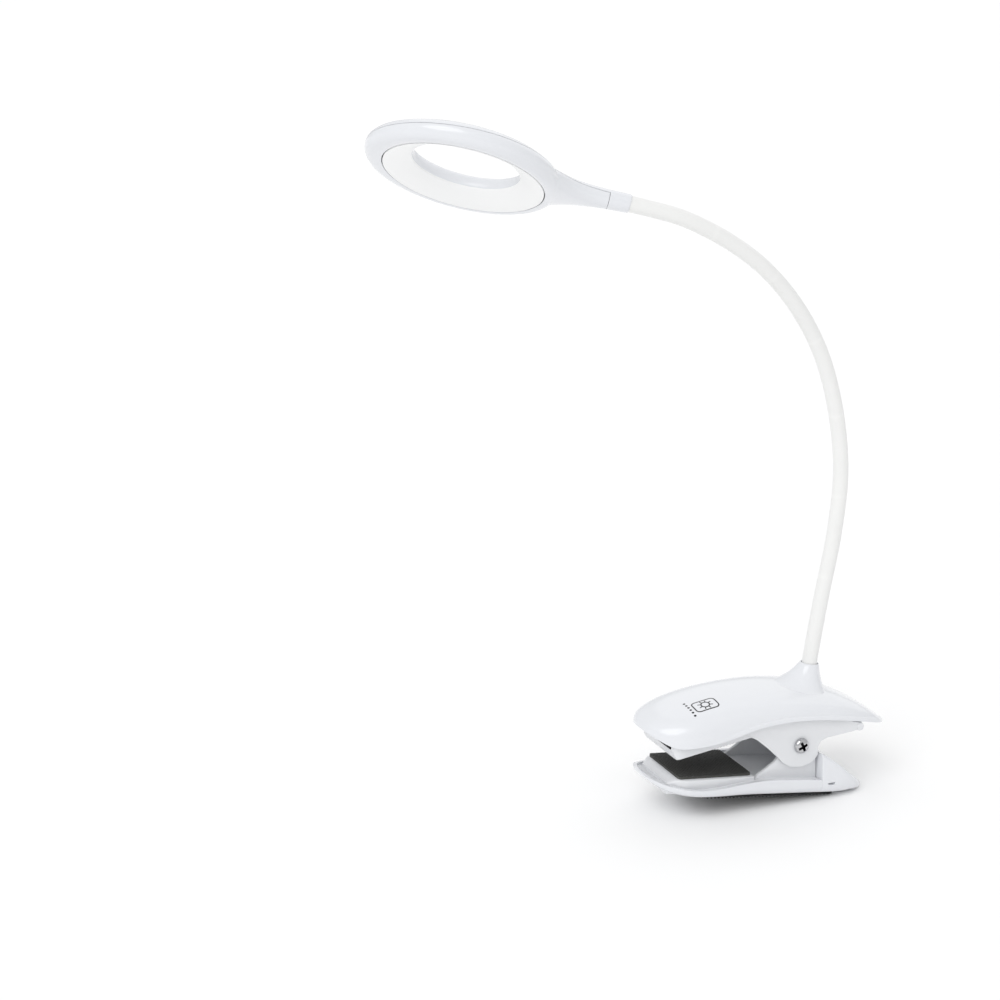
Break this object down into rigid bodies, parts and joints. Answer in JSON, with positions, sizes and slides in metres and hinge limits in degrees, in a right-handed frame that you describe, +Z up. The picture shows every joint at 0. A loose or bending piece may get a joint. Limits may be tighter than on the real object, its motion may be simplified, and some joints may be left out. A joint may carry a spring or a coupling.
{
  "type": "clip-on reading lamp",
  "caption": "Clip-on reading lamp: ring-shaped LED head on a flexible gooseneck, held by a spring clip with rubber-faced jaws.",
  "frame": {"origin": "centre of the upper jaw's pad face, where it presses on a table top", "axes": "+X along the clip from its nose to its tail, +Z up with the clip on a level table edge, +Y completes a right-handed frame"},
  "size_m": [0.261, 0.094, 0.342],
  "materials": {
    "white_gloss_plastic": "glossy injection-moulded white ABS, slightly cool",
    "white_satin_plastic": "satin white ABS of the inner frames",
    "jaw_pad_rubber": "black rubber sheet with a fine diamond texture",
    "foot_pad_rubber": "black ribbed rubber",
    "circuit_board": "white solder-mask board",
    "copper": "copper foil",
    "cell_wrap": "shrink-wrapped flat lithium cell",
    "plated_steel": "zinc-plated steel",
    "bright_steel": "nickel-plated cross-head screw",
    "opal_diffuser": "opal acrylic",
    "neck_silicone": "satin white soft sleeve",
    "gooseneck_steel": "spiral-wound steel gooseneck",
    "lead_insulation": "twin lead insulation"
  },
  "bodies": {
    "upper_jaw": {"upper_shell": "white_gloss_plastic", "upper_frame": "white_satin_plastic", "upper_pad": "jaw_pad_rubber", "touch_board": "circuit_board", "touch_electrode": "copper", "battery_cell": "cell_wrap", "driver_board": "circuit_board", "power_socket": "plated_steel", "neck_nut": "plated_steel", "pivot_tube": "plated_steel", "pivot_screw_near": "bright_steel", "pivot_screw_far": "bright_steel", "clamp_spring": "plated_steel", "neck_sleeve_0": "neck_silicone", "neck_core_0": "gooseneck_steel", "neck_lead_0": "lead_insulation"},
    "lower_jaw": {"lower_hull": "white_gloss_plastic", "lower_frame": "white_satin_plastic", "lower_pad": "jaw_pad_rubber", "foot_pad": "foot_pad_rubber"},
    "neck_1": {"neck_sleeve_1": "neck_silicone", "neck_core_1": "gooseneck_steel", "neck_lead_1": "lead_insulation"},
    "neck_2": {"neck_sleeve_2": "neck_silicone", "neck_core_2": "gooseneck_steel", "neck_lead_2": "lead_insulation"},
    "neck_3": {"neck_sleeve_3": "neck_silicone", "neck_core_3": "gooseneck_steel", "neck_lead_3": "lead_insulation"},
    "neck_4": {"neck_sleeve_4": "neck_silicone", "neck_core_4": "gooseneck_steel", "neck_lead_4": "lead_insulation"},
    "neck_5": {"neck_sleeve_5": "neck_silicone", "neck_core_5": "gooseneck_steel", "neck_lead_5": "lead_insulation"},
    "neck_6": {"neck_sleeve_6": "neck_silicone", "neck_core_6": "gooseneck_steel", "neck_lead_6": "lead_insulation"},
    "head": {"head_cover": "white_gloss_plastic", "head_base": "white_gloss_plastic", "diffuser_ring": "opal_diffuser", "led_board": "circuit_board", "neck_sleeve_7": "neck_silicone", "neck_core_7": "gooseneck_steel", "neck_lead_7": "lead_insulation"}
  },
  "joints": [
    {"name": "clamp_hinge", "type": "hinge", "parent": "upper_jaw", "child": "lower_jaw", "pos_m": [0.05, 0, -0.0036], "axis": [0, -1, 0], "range_deg": [-7, 26], "stiffness_Nm_per_rad": 0.9, "springref_deg": -31.51, "deforming": ["clamp_spring"]},
    {"name": "neck_fore_1", "type": "hinge", "parent": "upper_jaw", "child": "neck_1", "pos_m": [0.06846, 0, 0.05565], "axis": [0, 1, 0], "range_deg": [-22, 22]},
    {"name": "neck_side_2", "type": "hinge", "parent": "neck_1", "child": "neck_2", "pos_m": [0.07581, 0, 0.097], "axis": [0.9903, 0, -0.1389], "range_deg": [-22, 22]},
    {"name": "neck_fore_3", "type": "hinge", "parent": "neck_2", "child": "neck_3", "pos_m": [0.07769, 0.00001, 0.13885], "axis": [0.0004, 1, -0.0037], "range_deg": [-22, 22]},
    {"name": "neck_fore_4", "type": "hinge", "parent": "neck_3", "child": "neck_4", "pos_m": [0.06819, -0.00071, 0.17963], "axis": [-0.0183, 0.9987, 0.0479], "range_deg": [-22, 22]},
    {"name": "neck_side_5", "type": "hinge", "parent": "neck_4", "child": "neck_5", "pos_m": [0.04714, -0.00352, 0.21566], "axis": [0.7775, 0, 0.6289], "range_deg": [-22, 22]},
    {"name": "neck_fore_6", "type": "hinge", "parent": "neck_5", "child": "neck_6", "pos_m": [0.01631, -0.00538, 0.24385], "axis": [0.0059, 1, -0.0039], "range_deg": [-22, 22]},
    {"name": "head_twist", "type": "hinge", "parent": "neck_6", "child": "head", "pos_m": [-0.01539, -0.00293, 0.2605], "axis": [-0.9235, 0.1822, 0.3376], "range_deg": [-45, 45]}
  ]
}
